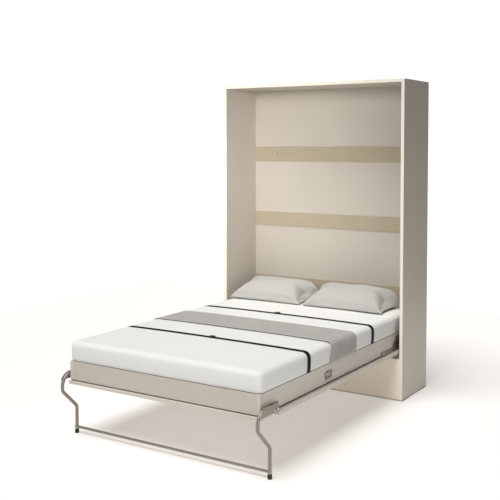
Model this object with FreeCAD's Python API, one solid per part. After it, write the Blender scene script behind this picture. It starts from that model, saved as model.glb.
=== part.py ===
import FreeCAD
import Part
import math
import os

# Wall bed that folds down out of a cabinet. Millimetres, +Z up, +X to the right of someone who
# faces the cabinet, +Y towards the wall. While the pieces are made, y = 0 is the cabinet's front
# plane; the last step shifts everything so that the origin is below the middle of the whole bed.

# Cabinet
CABINET_WIDTH = 1453.0
CABINET_HEIGHT = 2180.0
CABINET_DEPTH = 442.0
SIDE_T = 22.0
TOP_T = 22.0
KICK_T = 18.0
KICK_TOP = 287.0
RAIL_BOARD_T = 18.0
BACK_T = 8.0
BACK_SET_IN = 6.0            # back panels lie this far behind the cross rails' faces
WALL_GAP = 14.0              # cross rails stand this far in front of the wall
EDGE_R = 1.0                 # eased edge of every board
FOOT_GLIDE_T = 4.0
CROSS_RAILS = {"lower": (600.0, 710.0), "middle": (1105.0, 1212.0), "top": (1608.0, 1722.0)}
REAR_RAIL_H = 80.0
WALL_HOLE_R = 4.5
WALL_HOLE_X = 500.0
CAM_R = 7.5
CAM_DEPTH = 12.0
CAM_INSET = 34.0
TOP_CAM_FROM_EDGE = 60.0
GLIDE_L = 100.0
GLIDE_FROM_EDGE = 20.0

# Bed frame, lying open
SIDE_GAP = 40.0              # between the bed frame and the cabinet side
DOOR_GAP = 10.5              # between the door panel's edge and the cabinet side
DOOR_UNDERSIDE = 320.0
DOOR_T = 18.0
DOOR_TOP_GAP = 3.0           # door to top panel when the bed is up
DOOR_SEAM_Y = -1006.0
FOOT_LIP = 10.0              # door panel reaches this far past the footboard
SHADOW_GAP = 7.0             # between the door panel and the bed rails
BED_BOARD_T = 22.0
BED_BOARD_H = 111.0
BED_SEAM_Y = -933.0
HEAD_SWING_GAP = 75.0        # bed frame's head end to the cross rails
BEAM_W = 40.0
CROSS_BEAM_H = 24.0
CROSS_BEAM_W = 60.0
CROSS_BEAM_Y = (-1290.0, -640.0, -60.0)
LEDGER_W = 25.0
SLAT_W = 53.0
SLAT_T = 8.0
SLAT_PITCH = 115.0
SLAT_CAP_L = 34.0
SLAT_CAP_WALL = 2.5
SLAT_TOP = 400.0
CLEAT_Y = (-1127.0, -736.0, -390.0)
CLEAT_X = 300.0
CLEAT_L = 40.0
CLEAT_T = 2.0
CLEAT_LEG = 25.0

# Main pivot: the door closes flush with the cabinet front, so the pivot lies as far behind the
# front plane as it stands above the door's underside.
PIVOT_OFFSET = 55.0
DOOR_HEAD_PAST_PIVOT = 74.0
PIN_R = 7.0
PIN_COLLAR_R = 11.0
PIN_COLLAR_L = 10.0
BUSH_WALL = 3.0
BUSH_L = 11.5
BUSH_FLANGE_R = 14.0
BUSH_FLANGE_T = 3.0
RUN_CLEARANCE = 0.05
PLATE_T = 4.0
PIVOT_PLATE_SIZE = (120.0, 90.0)
PIVOT_PLATE_SHIFT = 20.0     # its middle lies this far behind the pivot
PLATE_SCREW_INSET = 14.0
STOP_PAD_T = 2.5
STOP_PAD_SIZE = (30.0, 40.0)
STOP_PAD_BELOW = 8.0         # below the kick panel's top edge

# Folding foot leg
LEG_PIVOT_FROM_FOOT = 134.0
LEG_PIVOT_ABOVE_DOOR = 40.0
LEG_TUBE_R = 10.0
LEG_TUBE_WALL = 1.5
LEG_TUBE_FROM_RAIL = 16.5    # tube's middle to the rail's outer face
LEG_TOP_RISE = 19.0          # tube's top run above the leg pivot
LEG_NOSE_REACH = 174.0       # tube's nose in front of the leg pivot
LEG_NOSE_R = 73.0
LEG_SHANK_REACH = 55.0
LEG_JOG_DROP = 195.0
LEG_JOG_R = 34.0
LEG_JOG_ANGLE = math.radians(46.0)
LEG_TOP_RUN = 46.0           # straight end of the tube, behind the nose
LEG_ARM_T = 4.0
LEG_ARM_SINK = 0.6           # the arm plate is welded this deep into the tube's outer side
LEG_ARM_BELOW = 15.0
LEG_ARM_PAST_PIVOT = 15.0
LEG_ARM_CORNER_R = 12.0
LEG_CROSSBAR_R = 7.5
LEG_CROSSBAR_WALL = 1.2
LEG_NOTCH_CLEARANCE = 4.0
LEG_BOLT_R = 5.0
LEG_BOLT_HEAD = (8.5, 4.5)    # radius, height
LEG_SPACER_R = 9.0
SIDE_PLAY = 0.4
LEG_CROSSBAR_Z = 38.0
FOOT_CAP_R = 12.5
FOOT_CAP_H = 25.0
FOOT_CAP_FLOOR = 4.0

# Gas springs
SPRING_X_GAP = 20.5          # spring's middle to the cabinet side
SPRING_ANCHOR = (380.0, 560.0)
SPRING_STUD_PAST_PIVOT = 100.0
SPRING_R = 11.0
SPRING_BORE_R = 8.5
SPRING_ROD_R = 5.0
SPRING_STUD_R = 5.0
SPRING_EYE_R = 11.0
SPRING_EYE_T = 8.0
SPRING_BODY_START = 16.0
SPRING_BODY_END = 222.0
SPRING_END_WALL = 7.0
SPRING_PISTON_L = 10.0
ANCHOR_PLATE_T = 3.0
ANCHOR_PLATE_HALF = (28.0, 24.0)
ANCHOR_SCREW_OFFSET = (20.0, 16.0)
KEEPER_R = 8.0
KEEPER_T = 5.0

# Bedding
MATTRESS_SIDE_INSET = 2.5    # upper part, inside the bed rails' outer faces
MATTRESS_FOOT_INSET = 2.0
MATTRESS_BOX_GAP = 2.5       # lower part, inside the bed rails' inner faces
MATTRESS_TOP = 580.0
MATTRESS_R = 28.0
BAND_GAP = 0.4
STRAP_W = 36.0
STRAP_T = 1.6
STRAP_Y = {"head": -350.0, "foot": -1200.0}
BUCKLE_X = {"head": -50.0, "foot": 0.0}
BUCKLE_SIZE = (32.0, 42.0, 5.0)
BUCKLE_R = 2.0
RUNNER_Y = (-932.0, -600.0)
RUNNER_T = 3.0
PILLOWS = {"left": (-662.0, -66.0), "right": (-42.0, 580.0)}
PILLOW_LENGTH = 345.0
PILLOW_FRONT_H = 62.0
PILLOW_BACK_H = 128.0
PILLOW_R = 24.0

# Fasteners
BOLT_R = 3.5
BOLT_HEAD_R = 6.5
BOLT_HEAD_H = 4.0
SCREW_R = 2.5
SCREW_HEAD_R = 4.5
SCREW_HEAD_H = 2.0
SCREW_BITE = 14.0
SPARE_HOLE_R = 4.5
SPARE_HOLES = ((-58.0, 38.0), (-38.0, 36.0), (-16.0, 52.0), (-14.0, 34.0))   # from the rail seam

# Places that follow from the sizes above
HALF_W = CABINET_WIDTH / 2.0
INNER_X = HALF_W - SIDE_T
TOP_UNDERSIDE = CABINET_HEIGHT - TOP_T
RAIL_BACK_Y = CABINET_DEPTH - WALL_GAP
RAIL_FACE_Y = RAIL_BACK_Y - RAIL_BOARD_T
BACK_FACE_Y = RAIL_FACE_Y + BACK_SET_IN
PIVOT_Y = PIVOT_OFFSET
PIVOT_Z = DOOR_UNDERSIDE + PIVOT_OFFSET
FOLD_SUM = PIVOT_Y + PIVOT_Z   # when the bed is up, a point's height is this less its y
BED_X = INNER_X - SIDE_GAP
BED_IN_X = BED_X - BED_BOARD_T
DOOR_X = INNER_X - DOOR_GAP
DOOR_TOP = DOOR_UNDERSIDE + DOOR_T
DOOR_FOOT_Y = FOLD_SUM - (TOP_UNDERSIDE - DOOR_TOP_GAP)
DOOR_HEAD_Y = PIVOT_Y + DOOR_HEAD_PAST_PIVOT
FOOT_Y = DOOR_FOOT_Y + FOOT_LIP
HEAD_Y = RAIL_FACE_Y - HEAD_SWING_GAP
FRAME_Z0 = DOOR_TOP + SHADOW_GAP
FRAME_Z1 = FRAME_Z0 + BED_BOARD_H
SLAT_BOTTOM = SLAT_TOP - SLAT_T
LEDGER_TOP = SLAT_BOTTOM - SLAT_CAP_WALL
LEDGER_BOTTOM = FRAME_Z0 + CROSS_BEAM_H + 1.0
LEG_PIVOT_Y = DOOR_FOOT_Y + LEG_PIVOT_FROM_FOOT
LEG_PIVOT_Z = DOOR_UNDERSIDE + LEG_PIVOT_ABOVE_DOOR
LEG_X = BED_X + LEG_TUBE_FROM_RAIL
LEG_NOSE_Y = LEG_PIVOT_Y - LEG_NOSE_REACH
LEG_SHANK_Y = LEG_PIVOT_Y - LEG_SHANK_REACH
LEG_TOP_Z = LEG_PIVOT_Z + LEG_TOP_RISE
LEG_ARM_X0 = LEG_X + LEG_TUBE_R - LEG_ARM_SINK
LEG_ARM_X1 = LEG_ARM_X0 + LEG_ARM_T
SPRING_X = INNER_X - SPRING_X_GAP
SPRING_STUD = (PIVOT_Y + SPRING_STUD_PAST_PIVOT, PIVOT_Z)
ORIGIN_Y = (LEG_NOSE_Y - LEG_TUBE_R + CABINET_DEPTH) / 2.0


def vec(x, y, z):
    return FreeCAD.Vector(x, y, z)


def box(xs, ys, zs):
    """Plain block between pairs of coordinates."""
    return Part.makeBox(xs[1] - xs[0], ys[1] - ys[0], zs[1] - zs[0], vec(xs[0], ys[0], zs[0]))


def board(xs, ys, zs):
    """Block with all its edges eased."""
    block = box(xs, ys, zs)
    return block.makeFillet(EDGE_R, block.Edges)


def rod_x(x0, x1, y, z, radius):
    return Part.makeCylinder(radius, x1 - x0, vec(x0, y, z), vec(1, 0, 0))


def rod_y(y0, y1, x, z, radius):
    return Part.makeCylinder(radius, y1 - y0, vec(x, y0, z), vec(0, 1, 0))


def rod_z(z0, z1, x, y, radius):
    return Part.makeCylinder(radius, z1 - z0, vec(x, y, z0), vec(0, 0, 1))


def plate_x(x0, x1, outline):
    """Flat plate across x from an outline of (y, z) points."""
    points = [vec(x0, y, z) for y, z in outline]
    face = Part.Face(Part.makePolygon(points + points[:1]))
    return face.extrude(vec(x1 - x0, 0, 0))


def hex_head(x0, x1, y, z, radius):
    """Hexagonal bolt head, axis along x."""
    corners = [math.radians(60.0 * i) for i in range(6)]
    return plate_x(x0, x1, [(y + radius * math.cos(a), z + radius * math.sin(a)) for a in corners])


def mirrored(shape):
    return shape.mirror(vec(0, 0, 0), vec(1, 0, 0))


def both_sides(solids):
    """One group from right-hand solids and their mirror images."""
    return Part.makeCompound(solids + [mirrored(solid) for solid in solids])


def fused(solids):
    return solids[0].multiFuse(solids[1:]).removeSplitter()


def cross_boards():
    """The boards that run between the side panels: name, y range, z range."""
    rows = {"kick_panel": ((0.0, KICK_T), (FOOT_GLIDE_T, KICK_TOP)),
            "rear_bottom_rail": ((RAIL_FACE_Y, RAIL_BACK_Y), (FOOT_GLIDE_T, FOOT_GLIDE_T + REAR_RAIL_H))}
    for level, heights in CROSS_RAILS.items():
        rows["cross_rail_" + level] = ((RAIL_FACE_Y, RAIL_BACK_Y), heights)
    return rows


def cam_places():
    """Back face and middle height of each board end that a cam fitting holds."""
    return [(ys[1], (zs[0] + zs[1]) / 2.0) for ys, zs in cross_boards().values()]


def top_cam_places():
    depths = (TOP_CAM_FROM_EDGE, CABINET_DEPTH - TOP_CAM_FROM_EDGE)
    return [(sign * (INNER_X - CAM_INSET), y) for sign in (-1, 1) for y in depths]


def cam_fittings():
    """Cam discs let into the boards' hidden faces."""
    cams = []
    for y_back, z in cam_places():
        for sign in (-1, 1):
            cams.append(rod_y(y_back - CAM_DEPTH, y_back, sign * (INNER_X - CAM_INSET), z, CAM_R))
    cams += [rod_z(CABINET_HEIGHT - CAM_DEPTH, CABINET_HEIGHT, x, y, CAM_R) for x, y in top_cam_places()]
    return cams


def pivot_plate_screws():
    half_l, half_h = (size / 2.0 - PLATE_SCREW_INSET for size in PIVOT_PLATE_SIZE)
    middle_y = PIVOT_Y + PIVOT_PLATE_SHIFT
    return [(middle_y + a * half_l, PIVOT_Z + b * half_h) for a in (-1, 1) for b in (-1, 1)]


def anchor_screws():
    dy, dz = ANCHOR_SCREW_OFFSET
    return [(SPRING_ANCHOR[0] + side * dy, SPRING_ANCHOR[1] + side * dz) for side in (-1, 1)]


def screw_shanks():
    """Right-hand screw shanks that hold the pivot plate and the spring anchor."""
    end_x = INNER_X + SCREW_BITE
    shanks = [rod_x(INNER_X - PLATE_T, end_x, y, z, SCREW_R) for y, z in pivot_plate_screws()]
    return shanks + [rod_x(INNER_X - ANCHOR_PLATE_T, end_x, y, z, SCREW_R) for y, z in anchor_screws()]


def cabinet():
    """Boards, fittings and fixed ironmongery of the cabinet."""
    parts = {}
    shanks = screw_shanks()
    side = board((INNER_X, HALF_W), (0.0, CABINET_DEPTH), (FOOT_GLIDE_T, CABINET_HEIGHT))
    side = side.cut(Part.makeCompound(shanks))
    parts["side_panel_right"] = side
    parts["side_panel_left"] = mirrored(side)

    cams = cam_fittings()
    cam_group = Part.makeCompound(cams)
    top = board((-INNER_X, INNER_X), (0.0, CABINET_DEPTH), (TOP_UNDERSIDE, CABINET_HEIGHT))
    parts["top_panel"] = top.cut(cam_group)
    for name, (ys, zs) in cross_boards().items():
        piece = board((-INNER_X, INNER_X), ys, zs).cut(cam_group)
        if name.startswith("cross_rail"):
            for x in (-WALL_HOLE_X, WALL_HOLE_X):
                piece = piece.cut(rod_y(ys[0] - 1, ys[1] + 1, x, (zs[0] + zs[1]) / 2.0, WALL_HOLE_R))
        parts[name] = piece
    parts["cam_fittings"] = cam_group

    levels = [FOOT_GLIDE_T + REAR_RAIL_H]
    for low, high in (CROSS_RAILS["lower"], CROSS_RAILS["middle"], CROSS_RAILS["top"]):
        levels += [low, high]
    levels.append(TOP_UNDERSIDE)
    for i, name in enumerate(("bottom", "lower", "upper", "top")):
        parts["back_panel_" + name] = box((-INNER_X, INNER_X), (BACK_FACE_Y, BACK_FACE_Y + BACK_T),
                                          (levels[2 * i], levels[2 * i + 1]))

    glide_half = SIDE_T / 2.0 - 2.0
    glides = []
    for y in (GLIDE_FROM_EDGE, CABINET_DEPTH - GLIDE_FROM_EDGE - GLIDE_L):
        glides.append(box((HALF_W - SIDE_T / 2.0 - glide_half, HALF_W - SIDE_T / 2.0 + glide_half),
                          (y, y + GLIDE_L), (0.0, FOOT_GLIDE_T)))
    parts["floor_glides"] = both_sides(glides)

    length, height = PIVOT_PLATE_SIZE
    plate_y = PIVOT_Y + PIVOT_PLATE_SHIFT
    plate = box((INNER_X - PLATE_T, INNER_X), (plate_y - length / 2.0, plate_y + length / 2.0),
                (PIVOT_Z - height / 2.0, PIVOT_Z + height / 2.0))
    pin = rod_x(BED_X + 0.5, INNER_X, PIVOT_Y, PIVOT_Z, PIN_R)
    plate = plate.cut(Part.makeCompound(shanks + [pin]))
    parts["pivot_plate_right"] = plate
    parts["pivot_plate_left"] = mirrored(plate)
    collar = rod_x(INNER_X - PLATE_T - PIN_COLLAR_L, INNER_X - PLATE_T, PIVOT_Y, PIVOT_Z, PIN_COLLAR_R)
    parts["pivot_pins"] = both_sides([fused([pin, collar])])

    anchor_y, anchor_z = SPRING_ANCHOR
    half_y, half_z = ANCHOR_PLATE_HALF
    anchor = box((INNER_X - ANCHOR_PLATE_T, INNER_X), (anchor_y - half_y, anchor_y + half_y),
                 (anchor_z - half_z, anchor_z + half_z))
    eye_x0 = SPRING_X - SPRING_EYE_T / 2.0
    stud = rod_x(eye_x0 - 2.5, INNER_X - ANCHOR_PLATE_T, anchor_y, anchor_z, SPRING_STUD_R)
    keeper_x1 = eye_x0 - 0.5
    keeper = rod_x(keeper_x1 - KEEPER_T, keeper_x1, anchor_y, anchor_z, KEEPER_R)
    shoulder_x0 = SPRING_X + SPRING_EYE_T / 2.0 + 0.5
    shoulder = rod_x(shoulder_x0, INNER_X - ANCHOR_PLATE_T, anchor_y, anchor_z, KEEPER_R)
    anchor = fused([anchor, stud, keeper, shoulder]).cut(Part.makeCompound(shanks))
    parts["spring_anchors"] = both_sides([anchor])

    screws = []
    for places, under in ((pivot_plate_screws(), PLATE_T), (anchor_screws(), ANCHOR_PLATE_T)):
        head_x = INNER_X - under
        for y, z in places:
            screws.append(fused([rod_x(head_x, INNER_X + SCREW_BITE, y, z, SCREW_R),
                                 rod_x(head_x - SCREW_HEAD_H, head_x, y, z, SCREW_HEAD_R)]))
    parts["cabinet_screws"] = both_sides(screws)

    pad_w, pad_h = STOP_PAD_SIZE
    pad_top = KICK_TOP - STOP_PAD_BELOW
    pad = box((BED_X - pad_w, BED_X), (KICK_T, KICK_T + STOP_PAD_T), (pad_top - pad_h, pad_top))
    parts["stop_pads"] = both_sides([pad])
    return parts


def frame_bolt_places():
    """Right-hand hexagon bolts: y, z and the thickness of the plate under the head."""
    pivot_bracket = [(PIVOT_Y - 237.0, FRAME_Z0 + 12.0), (PIVOT_Y - 120.0, FRAME_Z0 + 12.0),
                     (PIVOT_Y - 26.0, FRAME_Z0 + 68.0), (PIVOT_Y + 48.0, FRAME_Z0 + 48.0)]
    joint = [(BED_SEAM_Y + dy, FRAME_Z0 + dz) for dy, dz in ((-62.0, 60.0), (-36.0, 58.0), (8.0, 50.0))]
    leg = [(LEG_PIVOT_Y + 36.0, LEG_PIVOT_Z + 12.0), (LEG_PIVOT_Y - 24.0, LEG_PIVOT_Z + 12.0)]
    return [(y, z, PLATE_T) for y, z in pivot_bracket + joint + leg]


def leg_pivot_bolt():
    """Shoulder bolt that the leg hangs on, with its spacer."""
    head_x0 = LEG_ARM_X1 + SIDE_PLAY
    shank = rod_x(BED_IN_X, head_x0 + SIDE_PLAY, LEG_PIVOT_Y, LEG_PIVOT_Z, LEG_BOLT_R)
    spacer = rod_x(BED_X + PLATE_T, LEG_ARM_X0 - SIDE_PLAY, LEG_PIVOT_Y, LEG_PIVOT_Z, LEG_SPACER_R)
    head = hex_head(head_x0, head_x0 + LEG_BOLT_HEAD[1], LEG_PIVOT_Y, LEG_PIVOT_Z, LEG_BOLT_HEAD[0])
    return fused([shank, spacer, head])


def bed_brackets(cutters):
    """Right-hand steel plates on the outer face of the bed rail."""
    z0 = DOOR_TOP + 1.5
    pivot_outline = [(PIVOT_Y - 269.0, z0), (PIVOT_Y + 65.0, z0), (PIVOT_Y + 65.0, z0 + 62.0),
                     (PIVOT_Y + 38.0, z0 + 97.0), (PIVOT_Y - 26.0, z0 + 97.0), (PIVOT_Y - 94.0, z0 + 30.0),
                     (PIVOT_Y - 269.0, z0 + 30.0)]
    joint_outline = [(BED_SEAM_Y - 73.0, FRAME_Z0 + 26.0), (BED_SEAM_Y + 2.0, FRAME_Z0 + 26.0),
                     (BED_SEAM_Y + 16.0, FRAME_Z0 + 36.0), (BED_SEAM_Y + 16.0, FRAME_Z0 + 71.0),
                     (BED_SEAM_Y - 62.0, FRAME_Z0 + 71.0), (BED_SEAM_Y - 73.0, FRAME_Z0 + 62.0)]
    leg_outline = [(LEG_PIVOT_Y - 40.0, LEG_PIVOT_Z - 14.0), (LEG_PIVOT_Y + 50.0, LEG_PIVOT_Z - 14.0),
                   (LEG_PIVOT_Y + 50.0, LEG_PIVOT_Z + 24.0), (LEG_PIVOT_Y - 40.0, LEG_PIVOT_Z + 24.0)]
    bush_r = PIN_R + RUN_CLEARANCE + BUSH_WALL
    bush_hole = rod_x(BED_X - 1.0, BED_X + PLATE_T + 1.0, PIVOT_Y, PIVOT_Z, bush_r)
    plates = {}
    for name, outline in (("pivot_bracket", pivot_outline), ("rail_joint_plate", joint_outline),
                          ("leg_bracket", leg_outline)):
        plates[name] = plate_x(BED_X, BED_X + PLATE_T, outline).cut(cutters)
    plates["pivot_bracket"] = plates["pivot_bracket"].cut(bush_hole)
    spare = [rod_x(BED_X - 1.0, BED_X + PLATE_T + 1.0, BED_SEAM_Y + dy, FRAME_Z0 + dz, SPARE_HOLE_R)
             for dy, dz in SPARE_HOLES]
    plates["rail_joint_plate"] = plates["rail_joint_plate"].cut(Part.makeCompound(spare))
    return plates


def door_panels():
    """The two halves of the cabinet's front, with room for the leg at the foot corners."""
    notch_end = LEG_PIVOT_Y + LEG_ARM_BELOW + LEG_NOTCH_CLEARANCE
    notch_x = LEG_X - LEG_TUBE_R - LEG_NOTCH_CLEARANCE
    foot = box((-DOOR_X, DOOR_X), (DOOR_FOOT_Y, DOOR_SEAM_Y - 0.5), (DOOR_UNDERSIDE, DOOR_TOP))
    for sign in (-1, 1):
        xs = sorted((sign * notch_x, sign * (DOOR_X + 1.0)))
        foot = foot.cut(box(xs, (DOOR_FOOT_Y - 1.0, notch_end), (DOOR_UNDERSIDE - 1.0, DOOR_TOP + 1.0)))
    foot = foot.makeFillet(EDGE_R, foot.Edges)
    head = board((-DOOR_X, DOOR_X), (DOOR_SEAM_Y + 0.5, DOOR_HEAD_Y), (DOOR_UNDERSIDE, DOOR_TOP))
    return {"door_panel_foot": foot, "door_panel_head": head}


def slat_places():
    """Slat middles from the footboard to the head rail, evenly spaced."""
    first = FOOT_Y + BED_BOARD_T + SLAT_W
    last = HEAD_Y - BED_BOARD_T - SLAT_W
    count = int((last - first) / SLAT_PITCH) + 1
    step = (last - first) / (count - 1)
    return [first + i * step for i in range(count)]


def slat_base():
    """Ledgers, beams, slats and their end caps."""
    parts = {}
    y0 = FOOT_Y + BED_BOARD_T
    y1 = HEAD_Y - BED_BOARD_T
    zs = (FRAME_Z0, SLAT_BOTTOM)
    parts["centre_beam"] = board((-BEAM_W / 2.0, BEAM_W / 2.0), (y0, y1), zs)
    beams = [board((BEAM_W / 2.0, BED_IN_X), (y - CROSS_BEAM_W / 2.0, y + CROSS_BEAM_W / 2.0),
                   (FRAME_Z0, FRAME_Z0 + CROSS_BEAM_H)) for y in CROSS_BEAM_Y]
    parts["cross_beams"] = both_sides(beams)
    ledger = board((BED_IN_X - LEDGER_W, BED_IN_X), (y0, y1), (LEDGER_BOTTOM, LEDGER_TOP))
    parts["slat_ledgers"] = both_sides([ledger])
    slat_x = BED_IN_X - 4.0
    slats = []
    caps = []
    for y in slat_places():
        slat = box((-slat_x, slat_x), (y - SLAT_W / 2.0, y + SLAT_W / 2.0), (SLAT_BOTTOM, SLAT_TOP))
        cap = box((slat_x - SLAT_CAP_L, slat_x + SLAT_CAP_WALL),
                  (y - SLAT_W / 2.0 - SLAT_CAP_WALL, y + SLAT_W / 2.0 + SLAT_CAP_WALL),
                  (LEDGER_TOP, SLAT_TOP + SLAT_CAP_WALL))
        slats.append(slat)
        caps.append(cap.cut(slat))
    parts["bed_slats"] = Part.makeCompound(slats)
    parts["slat_caps"] = both_sides(caps)
    return parts


def door_cleats():
    """Steel angles that hold the door panel to the rails and the footboard."""
    cleats = []
    zs = (DOOR_TOP, LEDGER_BOTTOM - 1.0)
    for y in CLEAT_Y:
        ys = (y - CLEAT_L / 2.0, y + CLEAT_L / 2.0)
        upright = box((BED_IN_X - CLEAT_T, BED_IN_X), ys, zs)
        flat = box((BED_IN_X - CLEAT_LEG, BED_IN_X), ys, (DOOR_TOP, DOOR_TOP + CLEAT_T))
        cleats.append(fused([upright, flat]))
    y_face = FOOT_Y + BED_BOARD_T
    xs = (CLEAT_X - CLEAT_L / 2.0, CLEAT_X + CLEAT_L / 2.0)
    upright = box(xs, (y_face, y_face + CLEAT_T), zs)
    flat = box(xs, (y_face, y_face + CLEAT_LEG), (DOOR_TOP, DOOR_TOP + CLEAT_T))
    cleats.append(fused([upright, flat]))
    return both_sides(cleats)


def bed_frame():
    """Rails, boards, plates and bolts of the part that swings."""
    parts = {}
    bolts = frame_bolt_places()
    shanks = [rod_x(BED_IN_X, BED_X + under, y, z, BOLT_R) for y, z, under in bolts]
    pivot_bolt = leg_pivot_bolt()
    cleat_z = FRAME_Z0 + 12.0
    screw_shanks_x = [rod_x(BED_IN_X - CLEAT_T, BED_X, y, cleat_z, SCREW_R) for y in CLEAT_Y]
    cutters = Part.makeCompound(shanks + [pivot_bolt] + screw_shanks_x)

    xs = (BED_IN_X, BED_X)
    zs = (FRAME_Z0, FRAME_Z1)
    for name, ys in (("rail_foot", (FOOT_Y, BED_SEAM_Y - 0.4)), ("rail_head", (BED_SEAM_Y + 0.4, HEAD_Y))):
        rail = board(xs, ys, zs).cut(cutters)
        parts[name + "_right"] = rail
        parts[name + "_left"] = mirrored(rail)
    parts["footboard"] = board((-BED_IN_X, BED_IN_X), (FOOT_Y, FOOT_Y + BED_BOARD_T), zs)
    parts["head_rail"] = board((-BED_IN_X, BED_IN_X), (HEAD_Y - BED_BOARD_T, HEAD_Y), zs)
    parts.update(door_panels())
    parts.update(slat_base())
    parts["door_cleats"] = door_cleats().cut(both_sides(screw_shanks_x))

    for name, plate in bed_brackets(cutters).items():
        parts[name + "_right"] = plate
        parts[name + "_left"] = mirrored(plate)

    bush_x1 = BED_X + BUSH_L
    bush = fused([rod_x(BED_X, bush_x1, PIVOT_Y, PIVOT_Z, PIN_R + RUN_CLEARANCE + BUSH_WALL),
                  rod_x(BED_X + PLATE_T, BED_X + PLATE_T + BUSH_FLANGE_T, PIVOT_Y, PIVOT_Z, BUSH_FLANGE_R)])
    bush = bush.cut(rod_x(BED_X - 1.0, bush_x1 + 1.0, PIVOT_Y, PIVOT_Z, PIN_R + RUN_CLEARANCE))
    parts["pivot_bushes"] = both_sides([bush])

    hexes = []
    for y, z, under in bolts:
        face_x = BED_X + under
        hexes.append(fused([rod_x(BED_IN_X, face_x, y, z, BOLT_R),
                            hex_head(face_x, face_x + BOLT_HEAD_H, y, z, BOLT_HEAD_R)]))
    for y, shank in zip(CLEAT_Y, screw_shanks_x):
        hexes.append(fused([shank, rod_x(BED_X, BED_X + SCREW_HEAD_H, y, cleat_z, SCREW_HEAD_R)]))
    parts["frame_bolts"] = both_sides(hexes)
    parts["leg_pivot_bolts"] = both_sides([pivot_bolt])

    stud_y, stud_z = SPRING_STUD
    eye_x0 = SPRING_X - SPRING_EYE_T / 2.0
    stud = fused([rod_x(BED_X, BED_X + PLATE_T, stud_y, stud_z, 14.0),
                  rod_x(BED_X, eye_x0 - 2.0, stud_y, stud_z, SPRING_STUD_R)])
    parts["spring_studs"] = both_sides([stud])
    return parts


def leg_path():
    """Middle line of the leg's tube in the y-z plane, as edges from the top run to the floor."""
    sin_a = math.sin(LEG_JOG_ANGLE)
    cos_a = math.cos(LEG_JOG_ANGLE)
    half_turn = LEG_JOG_R * math.tan(LEG_JOG_ANGLE / 2.0)
    shank_top = LEG_PIVOT_Z - LEG_JOG_DROP - half_turn
    upper_corner = LEG_PIVOT_Z - LEG_JOG_DROP + (LEG_SHANK_Y - LEG_NOSE_Y) * cos_a / sin_a
    jog_top = upper_corner + half_turn
    nose_z = LEG_TOP_Z - LEG_NOSE_R
    nose_y = LEG_NOSE_Y + LEG_NOSE_R

    def at(y, z):
        return vec(LEG_X, y, z)

    def arc(centre_y, centre_z, radius, degrees):
        turns = [math.radians(angle) for angle in degrees]
        points = [at(centre_y + radius * math.cos(a), centre_z + radius * math.sin(a)) for a in turns]
        return Part.Arc(*points).toShape()

    jog_deg = math.degrees(LEG_JOG_ANGLE)
    nose = arc(nose_y, nose_z, LEG_NOSE_R, (90, 135, 180))
    upper = arc(LEG_NOSE_Y + LEG_JOG_R, jog_top, LEG_JOG_R, (180, 180 + jog_deg / 2.0, 180 + jog_deg))
    lower = arc(LEG_SHANK_Y - LEG_JOG_R, shank_top, LEG_JOG_R, (jog_deg, jog_deg / 2.0, 0))
    top_run = Part.LineSegment(at(nose_y + LEG_TOP_RUN, LEG_TOP_Z), at(nose_y, LEG_TOP_Z))
    ends = [nose.Vertexes[-1].Point, at(LEG_NOSE_Y, jog_top)]
    edges = [top_run.toShape(), nose]
    if ends[0].distanceToPoint(ends[1]) > 0.01:
        edges.append(Part.LineSegment(*ends).toShape())
    diagonal = Part.LineSegment(at(LEG_NOSE_Y + LEG_JOG_R * (1 - cos_a), jog_top - LEG_JOG_R * sin_a),
                                at(LEG_SHANK_Y - LEG_JOG_R * (1 - cos_a), shank_top + LEG_JOG_R * sin_a))
    shank = Part.LineSegment(at(LEG_SHANK_Y, shank_top), at(LEG_SHANK_Y, FOOT_CAP_FLOOR))
    return edges + [upper, diagonal.toShape(), lower, shank.toShape()]


def leg_arm():
    """Flat plate on the tube's outer side: it follows the nose and hangs on the pivot bolt."""
    xs = (LEG_ARM_X0, LEG_ARM_X1)
    nose_y = LEG_NOSE_Y + LEG_NOSE_R
    zs = (LEG_PIVOT_Z - LEG_ARM_BELOW, LEG_TOP_Z + LEG_TUBE_R)
    plate = box(xs, (nose_y, LEG_PIVOT_Y + LEG_ARM_PAST_PIVOT), zs)
    rear = [edge for edge in plate.Edges
            if edge.BoundBox.XLength > 1.0 and edge.BoundBox.YMin > LEG_PIVOT_Y]
    plate = plate.makeFillet(LEG_ARM_CORNER_R, rear)
    front = box(xs, (LEG_NOSE_Y - LEG_TUBE_R, nose_y), zs)
    rim = rod_x(xs[0], xs[1], nose_y, LEG_TOP_Z - LEG_NOSE_R, LEG_NOSE_R + LEG_TUBE_R)
    plate = plate.fuse(front.common(rim)).removeSplitter()
    return plate.cut(rod_x(xs[0] - 1.0, xs[1] + 1.0, LEG_PIVOT_Y, LEG_PIVOT_Z, LEG_BOLT_R + RUN_CLEARANCE))


def leg_tube():
    """Right-hand leg: a bent tube with its arm plate."""
    start = vec(LEG_X, LEG_NOSE_Y + LEG_NOSE_R + LEG_TOP_RUN, LEG_TOP_Z)
    path = Part.Wire(leg_path())
    skins = []
    for radius in (LEG_TUBE_R, LEG_TUBE_R - LEG_TUBE_WALL):
        ring = Part.Wire(Part.makeCircle(radius, start, vec(0, 1, 0)))
        skins.append(path.makePipeShell([ring], True, False))
    return skins[0].fuse(leg_arm()).cut(skins[1])


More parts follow.
